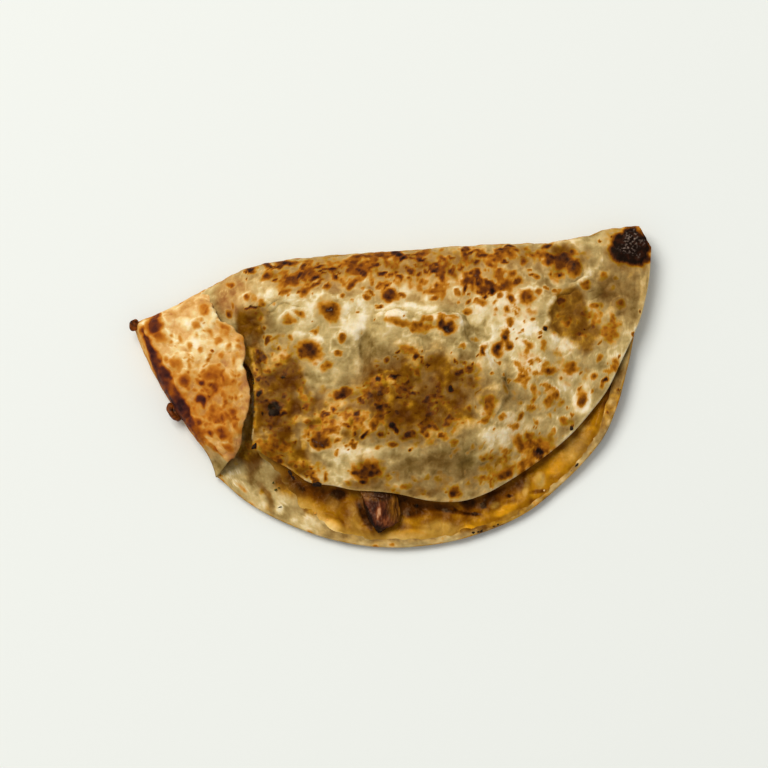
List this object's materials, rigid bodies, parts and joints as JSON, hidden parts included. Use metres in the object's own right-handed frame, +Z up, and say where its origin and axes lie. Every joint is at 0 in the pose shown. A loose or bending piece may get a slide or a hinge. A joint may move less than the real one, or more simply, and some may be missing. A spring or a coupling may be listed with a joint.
{
  "type": "quesadilla",
  "caption": "Folded half-moon flatbread with a turned-over end, blistered and browned outside, with melted cheese and seared beef showing along its open edge.",
  "frame": {"origin": "on the surface it rests on, under the middle of its bounding box", "axes": "+X along the fold towards the charred tip, +Y from the open edge towards the fold, +Z up"},
  "size_m": [0.1942, 0.12, 0.0182],
  "materials": {
    "tortilla": "matte, blistered and browned in spots",
    "cheese": "glossy melted cheese",
    "beef": "seared, slightly glossy"
  },
  "bodies": {
    "root": {"tortilla": "tortilla", "cheese_filling": "cheese", "beef_chunk": "beef"}
  },
  "joints": []
}
